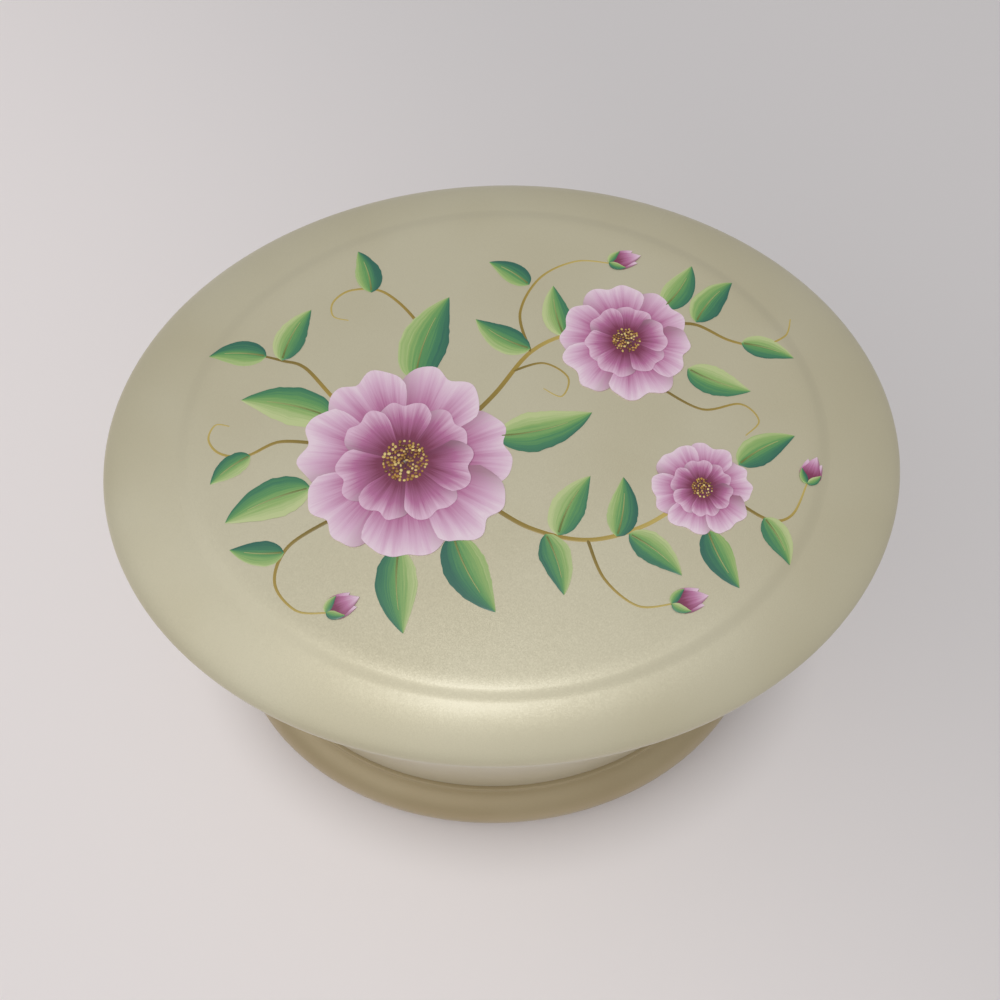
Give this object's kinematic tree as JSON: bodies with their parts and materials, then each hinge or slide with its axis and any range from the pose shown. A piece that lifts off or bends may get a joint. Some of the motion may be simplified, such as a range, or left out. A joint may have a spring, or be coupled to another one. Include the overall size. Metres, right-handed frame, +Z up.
{
  "type": "swivel jewellery box",
  "caption": "Oval painted wooden jewellery box whose lined trays and moulded lid swing out sideways on one hidden upright pivot.",
  "frame": {"origin": "on the table, under the middle of the oval", "axes": "+X along the oval towards the pivot's end, +Y across the oval away from the front, +Z up"},
  "size_m": [0.202, 0.164, 0.1535],
  "materials": {
    "pearl_paint": "wood fibre board or close-grained wood under satin champagne paint with a fine pearl flake",
    "felt": "short wool felt, matt",
    "velvet": "short-pile velvet, matt with an edge sheen",
    "plywood": "bare thin plywood",
    "zinc": "bright zinc-plated steel",
    "brass": "turned brass",
    "nylon": "natural nylon",
    "rubber": "dark foam rubber"
  },
  "bodies": {
    "base": {"base_board": "pearl_paint", "foot_pad_1": "rubber", "foot_pad_2": "rubber", "foot_pad_3": "rubber", "foot_pad_4": "rubber", "head_washer": "zinc", "wave_washer": "zinc", "bottom_case_frame": "pearl_paint", "bottom_case_floor_lining": "felt", "bottom_case_side_lining": "felt", "bottom_case_sleeve": "brass", "bottom_glide_washer": "nylon"},
    "middle_tray": {"middle_tray_frame": "pearl_paint", "middle_tray_floor": "plywood", "middle_tray_floor_lining": "felt", "middle_tray_side_lining": "felt", "middle_tray_sleeve": "brass", "middle_glide_washer": "nylon", "middle_tray_cross_divider": "velvet", "middle_tray_long_divider": "velvet"},
    "top_tray": {"top_tray_frame": "pearl_paint", "top_tray_floor": "plywood", "top_tray_floor_lining": "felt", "top_tray_side_lining": "felt", "top_tray_sleeve": "brass", "top_glide_washer": "nylon", "top_tray_left_divider": "velvet", "top_tray_right_divider": "velvet", "ring_roll_1": "velvet", "ring_roll_2": "velvet", "ring_roll_3": "velvet", "ring_roll_4": "velvet"},
    "lid": {"lid_board": "pearl_paint", "lid_insert": "brass", "pivot_screw": "zinc"}
  },
  "joints": [
    {"name": "middle_tray_swivel", "type": "hinge", "parent": "base", "child": "middle_tray", "pos_m": [0.0639, 0, 0.0597], "axis": [0, 0, 1], "continuous": true},
    {"name": "top_tray_swivel", "type": "hinge", "parent": "base", "child": "top_tray", "pos_m": [0.0639, 0, 0.0986], "axis": [0, 0, 1], "continuous": true},
    {"name": "lid_swivel", "type": "hinge", "parent": "base", "child": "lid", "pos_m": [0.0639, 0, 0.1375], "axis": [0, 0, 1], "continuous": true}
  ]
}
